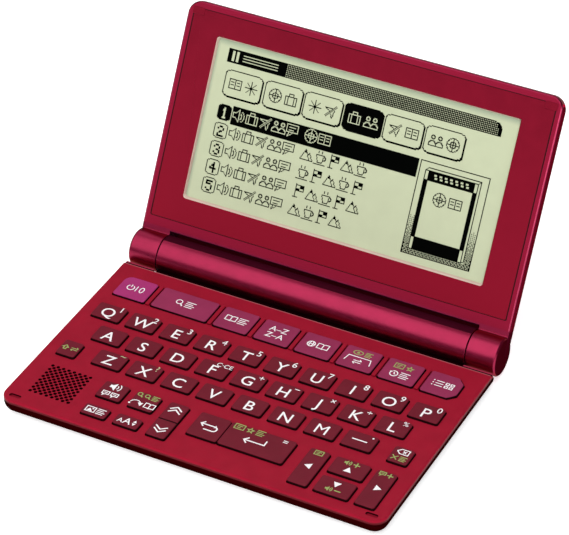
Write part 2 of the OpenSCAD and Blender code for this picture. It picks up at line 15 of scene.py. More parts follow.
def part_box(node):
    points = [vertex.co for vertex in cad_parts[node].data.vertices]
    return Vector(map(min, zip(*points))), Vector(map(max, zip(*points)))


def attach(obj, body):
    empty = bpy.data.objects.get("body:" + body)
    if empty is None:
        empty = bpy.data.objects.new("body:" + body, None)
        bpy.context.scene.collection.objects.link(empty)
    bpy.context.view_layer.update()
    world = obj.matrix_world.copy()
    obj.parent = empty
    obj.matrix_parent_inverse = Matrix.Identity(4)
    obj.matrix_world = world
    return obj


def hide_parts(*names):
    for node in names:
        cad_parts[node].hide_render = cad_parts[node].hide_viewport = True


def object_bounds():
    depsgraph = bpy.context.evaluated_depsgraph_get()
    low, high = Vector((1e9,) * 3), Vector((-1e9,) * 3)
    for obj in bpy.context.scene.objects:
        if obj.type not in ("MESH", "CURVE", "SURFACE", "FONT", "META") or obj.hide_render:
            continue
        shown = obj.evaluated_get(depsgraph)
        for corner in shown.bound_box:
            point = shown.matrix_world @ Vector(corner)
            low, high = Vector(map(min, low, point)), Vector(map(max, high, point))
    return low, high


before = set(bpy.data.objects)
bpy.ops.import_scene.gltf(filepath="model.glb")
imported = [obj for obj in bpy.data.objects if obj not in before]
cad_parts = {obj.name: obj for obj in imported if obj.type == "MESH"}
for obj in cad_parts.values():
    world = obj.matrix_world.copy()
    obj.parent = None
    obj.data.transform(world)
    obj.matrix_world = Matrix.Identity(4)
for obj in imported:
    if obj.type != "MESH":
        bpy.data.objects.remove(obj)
cad_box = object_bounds()
MM = 0.001


def add_object(name, data, location=None, rotation=None):
    """Puts an object into the scene, for a camera or a lamp with its place and its turn."""
    thing = bpy.data.objects.new(name, data)
    bpy.context.collection.objects.link(thing)
    if location:
        thing.location = location
        thing.rotation_mode = "QUATERNION"
        thing.rotation_quaternion = rotation
    return thing


# %% [markdown]
# ## The camera
# A product photograph is taken with a long lens from a metre away, so that parallel edges stay
# nearly parallel. A few numbers describe it better than placing by eye: how far the camera stands
# to the right, how high, how far away, what it aims at, and the slight roll of a hand-held shot.

# %% Camera
camera_turn = math.radians(28.01)
camera_rise = math.radians(36.85)
camera_roll = math.radians(-0.825)
camera_distance = 1.0436
camera_lens = 192.2
camera_aim = Vector((-0.01082, 0.02035, 0.01983))

towards_camera = Vector((
    math.sin(camera_turn) * math.cos(camera_rise),
    -math.cos(camera_turn) * math.cos(camera_rise),
    math.sin(camera_rise)))
camera_data = bpy.data.cameras.new("camera")
camera_data.lens = camera_lens
camera_data.sensor_width = 36.0
camera_data.clip_start = 0.01
camera = add_object(
    "camera", camera_data, camera_aim + camera_distance * towards_camera,
    towards_camera.to_track_quat("Z", "Y") @ Quaternion((0.0, 0.0, 1.0), camera_roll))
bpy.context.scene.camera = camera
print("camera right:", [round(v, 4) for v in camera.rotation_quaternion.to_matrix().col[0]])

# %% [markdown]
# ## Building with faces
# Every new piece is a mesh written face by face. Blender's own cubes and cylinders would need
# cutting and moving, while a small builder makes exactly the outline of a moulded key. Each face
# carries the number of its finish, so one key holds its top, sides and inks and moves as one.

# %% Builder
class Sheet:
    """Collects corners and faces, then turns them into one object."""

    def __init__(self):
        self.corners = []
        self.faces = []
        self.finishes = []

    def face(self, points, finish=0):
        first = len(self.corners)
        self.corners.extend(points)
        self.faces.append(list(range(first, first + len(points))))
        self.finishes.append(finish)

    def loft(self, rings, finish=0):
        """Joins closed rings of points that all have the same count."""
        first = len(self.corners)
        count = len(rings[0])
        for ring in rings:
            self.corners.extend(ring)
        for level in range(len(rings) - 1):
            low = first + level * count
            for i in range(count):
                j = (i + 1) % count
                self.faces.append([low + i, low + j, low + count + j, low + count + i])
                self.finishes.append(finish)

    def cap(self, rings):
        """Walls in the second finish, painted dark as painted shade, then a rounded edge and a flat
        top in the first finish.
        """
        self.loft(rings[:2], 1)
        self.loft(rings[1:])
        self.face(rings[-1])

    def make(self, name, materials, body, smooth=True):
        mesh = bpy.data.meshes.new(name)
        mesh.from_pydata([Vector(p) * MM for p in self.corners], [], self.faces)
        for material in materials:
            mesh.materials.append(material)
        mesh.polygons.foreach_set("material_index", self.finishes)
        mesh.update()
        piece = add_object(name, mesh)
        if smooth:
            soften(piece)
        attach(piece, body)
        return piece


def modify(piece, kind, **settings):
    modifier = piece.modifiers.new(kind.lower(), kind)
    for name, value in settings.items():
        setattr(modifier, name, value)


def soften(piece):
    """Joins the corners that meet and lets the large faces rule the shading."""
    piece.data.polygons.foreach_set("use_smooth", [True] * len(piece.data.polygons))
    modify(piece, "WELD", merge_threshold=0.002 * MM)
    modify(piece, "WEIGHTED_NORMAL", weight=100, keep_sharp=True)


def flat_at(points, z):
    """Lifts a drawn outline to one height, in millimetres."""
    return [(x, y, z) for x, y in points]


# %% [markdown]
# ## Drawing outlines and strokes
# Key plans, legends and pictograms are flat drawings. Two ideas cover them: an outline whose four
# corners are arcs, and a stroke of even width, mitred at its bends. An arc of a single step is a
# chamfer, which is how the last function key gets its cut corners.

# %% Outlines
def outline(left, front, right, back, corners, grow=0.0):
    """Rectangle, each corner an arc given as (radius, steps), from the front left, anticlockwise."""
    left, front, right, back = left - grow, front - grow, right + grow, back + grow
    points = []
    for turn, (radius, steps) in enumerate(corners):
        r = max(radius + grow, 0.02)
        x = left + r if turn in (0, 3) else right - r
        y = front + r if turn in (0, 1) else back - r
        for step in range(steps + 1):
            angle = math.pi + math.pi / 2 * (turn + step / steps)
            points.append((x + r * math.cos(angle), y + r * math.sin(angle)))
    return points


def stroke(points, width, closed=False):
    """Quads of even width along a line of points."""
    count = len(points)
    sides = []
    for i, point in enumerate(points):
        here = Vector(point)
        before = Vector(points[(i - 1) % count])
        after = Vector(points[(i + 1) % count])
        if not closed and i == 0:
            before = here - (after - here)
        if not closed and i == count - 1:
            after = here + (here - before)
        into = (here - before).normalized()
        out = (after - here).normalized()
        across = (into + out).normalized().orthogonal()
        reach = width / 2 / max(across.dot(into.orthogonal()), 0.3)
        sides.append((here + across * reach, here - across * reach))
    pairs = count if closed else count - 1
    return [[sides[i][1], sides[(i + 1) % count][1], sides[(i + 1) % count][0], sides[i][0]]
            for i in range(pairs)]


def arc(x, y, radius, start, end, steps=10):
    """Points along an arc, with its angles in degrees."""
    angles = [math.radians(start + (end - start) * i / steps) for i in range(steps + 1)]
    return [(x + radius * math.cos(a), y + radius * math.sin(a)) for a in angles]


def disc(x, y, radius, steps=20):
    return [arc(x, y, radius, 0, 360 * (steps - 1) / steps, steps - 1)]


def rectangle(left, low, right, high):
    return [(left, low), (right, low), (right, high), (left, high)]


def moved(shapes, x, y, size=1.0):
    """Places a drawing, first scaled about its own origin."""
    return [[(x + size * px, y + size * py) for px, py in shape] for shape in shapes]


# %% [markdown]
# ## Letters and digits
# The legends are an upright sans serif. Blender turns a text curve into a mesh, and its faces are
# copied into the key's own sheet, so that key and legend can't drift apart as two objects could. The
# curve's offset thickens the strokes, except where an outline would cross itself.

# %% Lettering
letter_boldness = 0.005
never_bolder = set("M4%")


def text_faces(text):
    """Faces of a line of text, centred, in the font's own units."""
    curve = bpy.data.curves.new("legend", "FONT")
    curve.body = text
    curve.resolution_u = 4
    curve.offset = 0.0 if never_bolder & set(text) else letter_boldness
    curve.align_x = "CENTER"
    writer = add_object("legend", curve)
    bpy.context.view_layer.update()
    mesh = writer.evaluated_get(bpy.context.evaluated_depsgraph_get()).to_mesh()
    shapes = [[(mesh.vertices[i].co.x, mesh.vertices[i].co.y) for i in face.vertices]
              for face in mesh.polygons]
    bpy.data.objects.remove(writer)
    bpy.data.curves.remove(curve)
    return shapes


capital_height = max(y for shape in text_faces("H") for x, y in shape)
print("capital height of the font:", round(capital_height, 3))


def letters(text, height, x=0.0, y=0.0):
    """Text whose capitals have the given height, centred on a point."""
    size = height / capital_height
    return moved(text_faces(text), x, y - height / 2, size)


# %% [markdown]
# ## Lacquered red plastic
# The body is pearl lacquer over moulded plastic: deep crimson, with a satin sheen rather than a
# mirror. The finish is a base colour that drifts a little, a fine noise as bump and a thin clear
# coat. All patterns read the object's own coordinates, so they stay put when a part moves.

# %% Finish helpers
def put(socket, value):
    """Links a socket to another node's output, or fills it with a constant."""
    if isinstance(value, bpy.types.NodeSocket):
        socket.id_data.links.new(value, socket)
    else:
        socket.default_value = value


def add_node(tree, kind, **inputs):
    """Adds a node and puts its inputs by name, with _ for a space."""
    node = tree.nodes.new(kind)
    for name, value in inputs.items():
        put(node.inputs[name.replace("_", " ")], value)
    return node


def own_place(tree):
    """The object's own coordinates."""
    return tree.nodes.new("ShaderNodeTexCoord").outputs["Object"]


def speckle(tree, size):
    """Noise of a given grain in millimetres."""
    return add_node(tree, "ShaderNodeTexNoise", Vector=own_place(tree), Scale=1.0 / (size * MM),
                    Detail=2.0).outputs["Fac"]


def spread(tree, size, low, high):
    """Noise of a given grain, its middle part stretched to a small range."""
    return add_node(tree, "ShaderNodeMapRange", Value=speckle(tree, size), From_Min=0.3,
                    From_Max=0.7, To_Min=low, To_Max=high).outputs["Result"]


def ramp(tree, value, start, end, way="LINEAR"):
    """0 at the start of a range and 1 at its end."""
    node = add_node(tree, "ShaderNodeMapRange", Value=value, From_Min=start, From_Max=end)
    node.interpolation_type = way
    return node.outputs["Result"]


def mixed(tree, kind, factor, first, second):
    """Blends two constants or outputs, as a colour (RGBA) or as a number (FLOAT)."""
    node = tree.nodes.new("ShaderNodeMix")
    node.data_type = kind
    put(node.inputs["Factor"], factor)
    entry, result = (6, 2) if kind == "RGBA" else (2, 0)
    put(node.inputs[entry], first)
    put(node.inputs[entry + 1], second)
    return node.outputs[result]


def new_finish(name, build, **constants):
    """Makes a material. `build` gets its tree and returns the outputs for its surface by name."""
    finish = bpy.data.materials.new(name)
    finish.use_nodes = True
    tree = finish.node_tree
    surface = tree.nodes["Principled BSDF"]
    for socket, value in {**build(tree), **constants}.items():
        put(surface.inputs[socket.replace("_", " ")], value)
    return finish


def plastic(name, colour, rough=0.45, grain_size=0.25, grain_depth=0.004, drift=0.06,
            metal=0.0, coat=0.0, specular=0.5, sheen_tint=(1.0, 1.0, 1.0)):
    """Moulded or lacquered plastic with a slight drift of tone, roughness and grain."""
    def build(tree):
        tones = [tuple(min(part * factor, 1.0) for part in colour) + (1.0,)
                 for factor in (1 - drift, 1 + drift)]
        bump = add_node(tree, "ShaderNodeBump", Strength=1.0, Distance=grain_depth * MM,
                        Height=speckle(tree, grain_size))
        return {"Base Color": mixed(tree, "RGBA", spread(tree, 6.0, 0.0, 1.0), *tones),
                "Roughness": spread(tree, 1.5, rough - 0.04, rough + 0.04),
                "Normal": bump.outputs["Normal"]}

    return new_finish(name, build, Metallic=metal, Coat_Weight=coat, Coat_Roughness=0.25,
                      Specular_IOR_Level=specular, Specular_Tint=(*sheen_tint, 1.0))


# %% [markdown]
# Four reds cover the body. The deck and the display's frame are satin, the barrel and the lid's
# outside are pearl, and the wells are painted almost black as painted shade. One red for all would
# look like a single moulding, because it is the small steps of tone that tell the plates apart.

# %% Reds
crimson = (0.318, 0.0085, 0.026)
metal_crimson = (0.295, 0.0093, 0.048)
frame_red = (0.188, 0.0063, 0.0195)
shadow_red = (0.010, 0.0008, 0.0015)
satin = {"rough": 0.6, "specular": 0.3, "sheen_tint": crimson}
lacquer = {"rough": 0.35, "metal": 1.0, "coat": 0.25, "specular": 0.1, "sheen_tint": crimson}
deck_satin = plastic("deck_satin", crimson, **satin)
bezel_satin = plastic("bezel_satin", frame_red, **satin)
barrel_lacquer = plastic("barrel_lacquer", metal_crimson, **lacquer)
lid_lacquer = plastic("lid_lacquer", metal_crimson, **lacquer)
door_lacquer = plastic("door_lacquer", metal_crimson, **lacquer)

# %% [markdown]
# ## Places on the lid
# The lid stands open, so a point on it is easier to name by its distance from the hinge and its
# depth below the plane that the lid's face closes on. One function turns those into the room's
# coordinates, and two directions measure them back from any point.

# %% Lid places
lid_open = math.radians(119.1)
hinge_low, hinge_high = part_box("hinge_pins")
hinge_y = (hinge_low[1] + hinge_high[1]) / 2 / MM
hinge_z = (hinge_low[2] + hinge_high[2]) / 2 / MM
lid_up = (0.0, -math.cos(lid_open), math.sin(lid_open))
lid_in = (0.0, math.sin(lid_open), math.cos(lid_open))
lid_face_depth = 0.5
print("hinge axis at y", round(hinge_y, 2), "z", round(hinge_z, 2))


def on_lid(x, v, n):
    """Millimetres across, away from the hinge, and into the lid from its closed face."""
    return (x, hinge_y - v * math.cos(lid_open) + n * math.sin(lid_open),
            hinge_z + v * math.sin(lid_open) + n * math.cos(lid_open))


def lid_face(points, n):
    return [on_lid(x, v, n) for x, v in points]


# %% [markdown]
# ## Painted shade and highlights
# The wells of the keys, the groove behind the deck, the slot round the hinge and the underside are
# painted nearly black as painted shade, and a few thin strips are painted lighter as painted
# highlights. A mask built from the object's own coordinates says where each colour goes, so no
# plate has to be split.

# %% Masks
front_edge = cad_box[0][1] / MM


def axes_of(tree):
    """The three object coordinates, with y measured back from the front edge, in millimetres."""
    scaled = add_node(tree, "ShaderNodeMapping", Vector=own_place(tree), Scale=(1 / MM,) * 3,
                      Location=(0, -front_edge, 0))
    return add_node(tree, "ShaderNodeSeparateXYZ", Vector=scaled.outputs["Vector"]).outputs


def from_hinge(tree):
    """How far a point lies from the hinge axis, as a vector in millimetres."""
    return add_node(tree, "ShaderNodeMapping", Vector=own_place(tree), Scale=(0.0, 1 / MM, 1 / MM),
                    Location=(0.0, -hinge_y, -hinge_z)).outputs["Vector"]


def math_node(tree, operation, *values, kind="ShaderNodeMath"):
    node = tree.nodes.new(kind)
    node.operation = operation
    for socket, value in zip(node.inputs, values):
        put(socket, value)
    return node.outputs["Value"]


def vector_node(tree, operation, *values):
    return math_node(tree, operation, *values, kind="ShaderNodeVectorMath")


def within(tree, *ranges):
    """1 inside a box given as (low, high) for x, y and z, or None for any value."""
    mask = 1.0
    for axis, limits in zip(axes_of(tree), ranges):
        if limits:
            centre, reach = (limits[0] + limits[1]) / 2, (limits[1] - limits[0]) / 2
            mask = math_node(tree, "MULTIPLY", mask,
                             math_node(tree, "COMPARE", axis, centre, reach))
    return mask


def below(tree, height, fade):
    """1 below a height, fading to 0 just above it."""
    return ramp(tree, axes_of(tree)[2], height + fade, height)


def lid_measure(tree, direction):
    """Millimetres from the hinge axis, along one of the lid's two directions."""
    return vector_node(tree, "DOT_PRODUCT", from_hinge(tree), direction)


def paint_light_or_finish(finish, mask, colour=shadow_red, metal=0.0, rough=0.6):
    """Swaps in another colour and finish where the mask is 1: painted shade or highlight, or a real
    change of finish.
    """
    tree = finish.node_tree
    swapped_surface = {"Base Color": (*colour, 1.0), "Metallic": metal, "Roughness": rough,
                    "Coat Weight": 0.0}
    for name, swapped_value in swapped_surface.items():
        socket = tree.nodes["Principled BSDF"].inputs[name]
        before = socket.links[0].from_socket if socket.is_linked else socket.default_value
        kind = "RGBA" if name == "Base Color" else "FLOAT"
        put(socket, mixed(tree, kind, mask, before, swapped_value))


# %% [markdown]
# The lower case, where it curves under, is painted the deepest red of all as painted shade, and so
# is the deck's outer wall above it, a little less deep. Its barrel is lacquered like the lid, with a
# strip behind the slot painted dark as painted shade. The frame of the display is painted lighter
# towards the hinge as painted light, so it darkens away from the hinge.

# %% Bare places
# Most of these colours are painted shade or painted highlights; the rim's satin red is a real finish.
tub_painted_shade = (0.030, 0.0006, 0.0015)
wall_painted_shade = (0.100, 0.004, 0.008)
knuckle_end_painted_shade = (0.065, 0.004, 0.014)
flank_painted_shade = (0.150, 0.006, 0.022)
slot_strip_painted_shade = (0.040, 0.0020, 0.009)
slot_painted_shade = (0.105, 0.014, 0.045)
ledge_painted_highlight = (0.360, 0.030, 0.070)
rim_satin = (0.262, 0.0100, 0.034)
frame_red_painted_light = (0.245, 0.0076, 0.0225)
back_edge_painted_highlight = (0.420, 0.105, 0.120)
rim_painted_highlight = (0.640, 0.065, 0.150)
deck_tree = deck_satin.node_tree
# The deck's outer wall and the tub below it are painted dark as painted shade.
paint_light_or_finish(deck_satin, below(deck_tree, 6.05, 0.45), wall_painted_shade)
paint_light_or_finish(deck_satin, below(deck_tree, 5.3, 0.4), tub_painted_shade, metal=1.0)
# The boxes paint light and shade: the wells, catch slots, tub, groove, strip behind the slot and the
# ledge's front are painted shade, and the deck's back edge and the ledge are painted highlights.
painted_light_boxes = {  # x, y and z ranges, colour and metal of each box
    deck_satin: (
        ((-69.4, 69.4), (4.5, 83.5), (0.0, 6.95), shadow_red, 0.0),  # wells of the keys
        ((-69.4, 69.4), (2.0, 4.2), (6.35, 6.95), shadow_red, 0.0),  # catch slots
        ((-70.5, 70.5), (83.3, 83.9), (6.7, 7.3), back_edge_painted_highlight, 0.0)),  # back edge
    barrel_lacquer: (
        (None, (-1.0, 85.4), (0.0, 4.95), tub_painted_shade, 1.0),  # tub
        ((-59.5, 59.5), (83.0, 87.3), (0.0, 6.5), shadow_red, 0.0),  # groove behind the deck
        ((-59.3, 59.3), (92.3, 99.0), (7.9, 16.0), slot_strip_painted_shade, 0.0),  # strip behind the slot
        (None, (84.85, 85.8), (6.0, 6.6), ledge_painted_highlight, 0.0),  # ledge under the knuckles
        (None, (83.8, 84.85), (6.0, 6.6), shadow_red, 0.0)),  # its front
}
for finish, boxes in painted_light_boxes.items():
    for across, along, up, colour, metal in boxes:
        paint_light_or_finish(finish, within(finish.node_tree, across, along, up), colour, metal)

lid_tree = lid_lacquer.node_tree
rim_start, slot_radius = 9.0, 8.45
clear_of_hinge = math_node(lid_tree, "GREATER_THAN", lid_measure(lid_tree, lid_up), rim_start)
on_face = math_node(lid_tree, "LESS_THAN", lid_measure(lid_tree, lid_in), lid_face_depth + 0.12)
in_slot = math_node(lid_tree, "LESS_THAN", vector_node(lid_tree, "LENGTH", from_hinge(lid_tree)),
                    slot_radius)
paint_light_or_finish(lid_lacquer, math_node(lid_tree, "MULTIPLY", on_face, clear_of_hinge), rim_satin)
# The slot round the hinge is painted a dark purple as painted shade and painted reflection.
paint_light_or_finish(lid_lacquer, math_node(lid_tree, "MULTIPLY", in_slot, within(lid_tree, (-59.75, 59.75))),
           slot_painted_shade, metal=1.0)
# Along each side the rim gets a painted highlight, and the flank and the knuckle's end are painted
# dark as painted shade.
for side in (-1, 1):
    rim, flank, end = [sorted((side * near, side * far))
                       for near, far in ((70.15, 70.6), (70.6, 71.2), (70.65, 71.2))]
    paint_light_or_finish(lid_lacquer, math_node(lid_tree, "MULTIPLY", within(lid_tree, rim), clear_of_hinge),
               rim_painted_highlight, metal=1.0, rough=0.35)
    paint_light_or_finish(lid_lacquer, within(lid_tree, flank), flank_painted_shade, metal=1.0)
    paint_light_or_finish(lid_lacquer, within(lid_tree, end, (86.0, 100.4), (0.0, 15.0)), knuckle_end_painted_shade, metal=1.0)
bezel_tree = bezel_satin.node_tree
# The frame is painted lighter towards the hinge and darker towards its top, as painted light.
paint_light_or_finish(bezel_satin, ramp(bezel_tree, lid_measure(bezel_tree, lid_up), 88.0, 12.0),
           frame_red_painted_light)

# %% [markdown]
# ## Keeping the plates and softening their edges
# The solids have the right shapes, but their edges are knife sharp, and a moulded edge always
# catches a thin line of light. Modifiers make it without touching the mesh: weld the corners,
# dissolve flat triangles into whole faces, then bevel what still turns by more than 40 degrees.

# %% Plates
def keep_plate(node, finish, edge):
    """Keeps a solid, gives it its finish and rounds its sharp edges by `edge` millimetres."""
    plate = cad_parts[node]
    for slot in plate.material_slots:
        slot.material = finish
    modify(plate, "WELD", merge_threshold=0.001 * MM)
    modify(plate, "DECIMATE", decimate_type="DISSOLVE", angle_limit=math.radians(1.0),
           delimit={"MATERIAL"})
    if edge:
        modify(plate, "BEVEL", width=edge * MM, segments=2, limit_method="ANGLE",
               angle_limit=math.radians(40.0), use_clamp_overlap=False, miter_outer="MITER_ARC")
    modify(plate, "WEIGHTED_NORMAL", weight=100)


for node, finish, edge in (("key_deck", deck_satin, 0.1), ("bottom_case", barrel_lacquer, 0.2),
                           ("battery_door", door_lacquer, 0.12), ("lid_cover", lid_lacquer, 0.2),
                           ("lid_bezel", bezel_satin, 0.08)):
    keep_plate(node, finish, edge)

# %% [markdown]
# ## What is inside
# The grille holes, the gaps round the keys and the open battery bay each show a little of the
# inside. The mat is milky rubber, the board is solder mask with a track pattern, and the battery
# jackets carry a band at the positive end.

# %% Inner finishes
cell_length = 44.5
copper_band = 33.0


def board_surface(tree):
    """Green solder mask with fine tracks under it."""
    tracks = add_node(tree, "ShaderNodeTexBrick", Vector=own_place(tree), Scale=1.0,
                      Mortar_Size=0.00012, Brick_Width=0.006, Row_Height=0.0009,
                      Color1=(0.010, 0.090, 0.045, 1.0), Color2=(0.014, 0.120, 0.060, 1.0),
                      Mortar=(0.10, 0.22, 0.08, 1.0))
    return {"Base Color": tracks.outputs["Color"], "Roughness": spread(tree, 2.0, 0.30, 0.42)}


def jacket_surface(tree):
    """Battery jacket: grey, with a copper band at the positive end of each cell."""
    x = add_node(tree, "ShaderNodeSeparateXYZ", Vector=own_place(tree)).outputs["X"]
    along = math_node(tree, "WRAP", x, cell_length * MM, 0.0)
    band = ramp(tree, along, copper_band * MM, (copper_band + 0.2) * MM)
    return {"Base Color": mixed(tree, "RGBA", band, (0.05, 0.055, 0.06, 1.0),
                                (0.55, 0.27, 0.10, 1.0)),
            "Roughness": spread(tree, 1.0, 0.25, 0.35)}


mat_rubber = plastic("mat_rubber", (0.10, 0.09, 0.085), rough=0.75, grain_size=0.4)
dark_plastic = plastic("speaker_frame", (0.02, 0.018, 0.02), rough=0.6)
foot_rubber = plastic("foot_rubber", (0.025, 0.025, 0.028), rough=0.8, grain_depth=0.01)
pin_steel = plastic("pin_steel", (0.62, 0.62, 0.64), rough=0.28, metal=1.0, drift=0.03)
board_green = new_finish("board_green", board_surface)
cell_jacket = new_finish("cell_jacket", jacket_surface, Metallic=0.7)
for node, finish, edge in (("key_mat", mat_rubber, 0.0), ("main_board", board_green, 0.0),
                           ("speaker", dark_plastic, 0.1), ("batteries", cell_jacket, 0.3),
                           ("hinge_pins", pin_steel, 0.2), ("rubber_feet", foot_rubber, 0.25)):
    keep_plate(node, finish, edge)

# %% [markdown]
# ## Key finishes and inks
# Letter keys are wine-red caps whose sides are painted nearly black as painted shade in their wells.
# The function keys are magenta, and the first of them is brighter. Three inks are printed on them:
# white for the main legend, a yellow-green for the shifted one, and a paler green for two small signs.

# %% Key finishes
def cap_plastic(name, colour, specular=0.12, **looks):
    return plastic(name, colour, rough=0.6, specular=specular, **looks)


cap_top = cap_plastic("cap_wine", (0.155, 0.0095, 0.022), grain_depth=0.006)
# The walls of the letter caps are painted near black as painted shade.
cap_side_painted_shade = cap_plastic("cap_side_painted_shade", (0.012, 0.0008, 0.0018))
function_top = cap_plastic("function_magenta", (0.285, 0.026, 0.086), specular=0.15)
power_top = cap_plastic("power_magenta", (0.385, 0.030, 0.160), specular=0.15)
# The walls of the function keys and ribs are painted near black as painted shade.
function_side_painted_shade = cap_plastic("function_side_painted_shade", (0.012, 0.0008, 0.003))
white_ink = cap_plastic("white_ink", (0.95, 0.93, 0.94), specular=0.5, drift=0.02)
green_ink = cap_plastic("green_ink", (0.31, 0.39, 0.11), specular=0.5, drift=0.03)
pale_ink = cap_plastic("pale_ink", (0.50, 0.50, 0.28), specular=0.5, drift=0.03)

# %% [markdown]
# ## Pictograms
# The real keys carry words. Words tie a part to one language and one product, so each key gets
# plain pictograms for what it does. Each is a drawing that still waits for the width of its pen: a
# function made of lines, loops and filled shapes round its own centre, in millimetres.

# %% Pictograms
def line(*points, pen=1.0):
    return lambda width: stroke(points, width * pen)


def loop(*points):
    return lambda width: stroke(points, width, closed=True)


def filled(*shapes):
    return lambda width: list(shapes)


def drawing(*parts):
    return lambda width: [shape for part in parts for shape in part(width)]


def triangle(x, y, size, heading):
    """Filled triangle that points along a heading in degrees."""
    return [arc(x, y, size, heading, heading + 240, 2)]


def menu_mark(width):
    return [shape for y in (1.2, 0.0, -1.2)
            for shape in stroke([(-0.9, y), (1.9, y)], width) + disc(-1.7, y, width * 0.75, 10)]


def chevrons(way):
    """Two arrow heads above each other, up for 1 and down for -1."""
    return drawing(*(line((-2.2, lift - way * 0.8), (0, lift + way * 0.8), (2.2, lift - way * 0.8))
                     for lift in (-0.75, 0.75)))


left_page = ((0, 1.3), (-0.7, 1.6), (-2.2, 1.6), (-2.2, -1.1), (-0.7, -1.1), (0, -1.4))
equator = arc(0, 0, 1.7, 0, 345, 23)
eyelids = arc(0, 0, 2.0, 180, 0, 12) + arc(0, 0, 2.0, 360, 180, 12)[1:-1]
star_points = [arc(0, 0, (1.7, 0.75)[i % 2], 90 + 36 * i, 0, 1)[0] for i in range(10)]
power_mark = drawing(line(*arc(0, -0.1, 1.5, 125, 415, 20)), line((0, 0.3), (0, 1.8)))
one_zero_mark = drawing(
    line((-1.2, 1.5), (-1.2, -1.5)),
    loop(*((0.95 + 0.75 * x, 1.5 * y) for x, y in arc(0, 0, 1.0, 0, 340, 17))))
lens_mark = drawing(loop(*arc(-0.4, 0.4, 1.3, 0, 345, 23)), line((0.55, -0.55), (1.7, -1.7), pen=1.4))
lines_mark = drawing(*(line((0, y), (reach, y))
                       for y, reach in ((1.4, 3.6), (0.45, 2.7), (-0.5, 3.6), (-1.45, 3.1))))
book_mark = drawing(line(*left_page), line(*((-x, y) for x, y in left_page)),
                    line((0, 1.3), (0, -1.4)))
globe_mark = drawing(loop(*equator), loop(*((0.45 * x, y) for x, y in equator)),
                     line((-1.7, 0), (1.7, 0)))
star_mark = loop(*star_points)
grid_mark = drawing(*(loop(*rectangle(x - 0.6, y - 0.55, x + 0.6, y + 0.55))
                      for x in (-1.0, 1.0) for y in (-0.95, 0.95)))
swap_mark = drawing(line((-1.9, 0.6), (1.8, 0.6)), line((0.8, 1.6), (1.8, 0.6)),
                    line((1.9, -0.6), (-1.8, -0.6)), line((-0.8, -1.6), (-1.8, -0.6)))
clock_mark = drawing(line(*arc(0, 0, 1.5, 150, 480, 22)), line((0, 0.9), (0, 0), (0.8, -0.4)),
                     filled([(-1.9, 0.9), (-1.2, 0.1), (-0.7, 1.2)]))
eye_mark = drawing(loop(*((x, y * 0.6) for x, y in eyelids)), filled(*disc(0, 0, 0.6, 12)))
card_mark = drawing(loop(*rectangle(-1.9, 1.3, 1.9, -1.3)), line((-1.1, 0.45), (1.1, 0.45)),
                    line((-1.1, -0.45), (0.5, -0.45)))
speaker_mark = drawing(
    filled(rectangle(-2.0, -0.6, -1.2, 0.6), [(-1.2, -0.6), (-0.1, -1.7), (-0.1, 1.7), (-1.2, 0.6)]),
    line(*arc(-0.2, 0, 0.9, -50, 50, 8)), line(*arc(-0.2, 0, 1.8, -50, 50, 10)))
talk_mark = drawing(
    loop((-1.7, 1.4), (1.7, 1.4), (1.7, -0.7), (0.1, -0.7), (-0.9, -1.7), (-0.9, -0.7), (-1.7, -0.7)),
    line((-0.9, 0.35), (0.9, 0.35)))
crossbar = line((-1.1, 0), (1.1, 0), pen=1.3)
plus_mark = drawing(crossbar, line((0, -1.1), (0, 1.1), pen=1.3))
# The specks give a minus the same height as a plus, so that the two line up.
minus_mark = drawing(crossbar, filled(*disc(0, 1.1, 0.01, 4), *disc(0, -1.1, 0.01, 4)))
step_mark = filled(*triangle(0, 0.7, 0.9, 90), *triangle(0, -0.7, 0.9, 270))
shift_mark = loop((0, 1.7), (1.6, 0.1), (0.7, 0.1), (0.7, -1.5), (-0.7, -1.5), (-0.7, 0.1),
                  (-1.6, 0.1))
erase_mark = drawing(loop((-2.3, 0), (-1.0, 1.3), (2.2, 1.3), (2.2, -1.3), (-1.0, -1.3)),
                     line((0.0, 0.6), (1.2, -0.6)), line((1.2, 0.6), (0.0, -0.6)))
cross_mark = drawing(line((-1.1, 1.1), (1.1, -1.1)), line((1.1, 1.1), (-1.1, -1.1)))
back_mark = drawing(line((-3.1, 0.6), (2.0, 0.6), *arc(2.0, -0.6, 1.2, 90, -90, 10), (-1.2, -1.8)),
                    line((-1.9, 1.8), (-3.1, 0.6), (-1.9, -0.6)))
enter_mark = drawing(line((3.8, 1.8), (3.8, -0.5), (-3.6, -0.5)),
                     line((-2.2, 0.9), (-3.6, -0.5), (-2.2, -1.9)))
jump_mark = drawing(line(*arc(0, -1.0, 1.7, 165, 20, 12)),
                    filled([(2.3, 0.2), (1.8, -1.4), (0.6, -0.1)], *disc(-1.7, -1.2, 0.35, 10)))
picture_mark = drawing(loop(*rectangle(-2.0, 1.5, 2.0, -1.5)),
                       filled(*disc(0.9, 0.6, 0.4, 12), [(-1.5, -1.1), (1.1, -1.1), (-0.4, 0.6)]))

# %% [markdown]
# A row of pictograms should have one height and one stroke, as a word has. Scaling a drawing would
# scale its stroke as well, so this helper measures each pictogram first, then draws it again with
# the stroke divided by its scale.

# %% Rows of pictograms
ink_line = 0.36


def span(shapes, axis):
    values = [point[axis] for shape in shapes for point in shape]
    return min(values), max(values)


def in_row(marks, height, x=0.0, y=0.0, gap=0.6):
    """Sets pictograms side by side at one height and one stroke, centred on a point."""
    placed = []
    for mark in marks:
        low, high = span(mark(0.3), 1)
        size = height / (high - low)
        shapes = mark(ink_line / size)
        left, right = span(shapes, 0)
        placed.append((moved(shapes, -left * size, -(low + high) / 2 * size, size),
                       (right - left) * size))
    start = x - (sum(wide for shapes, wide in placed) + gap * (len(placed) - 1)) / 2
    row = []
    for shapes, wide in placed:
        row += moved(shapes, start, y)
        start += wide + gap
    return row


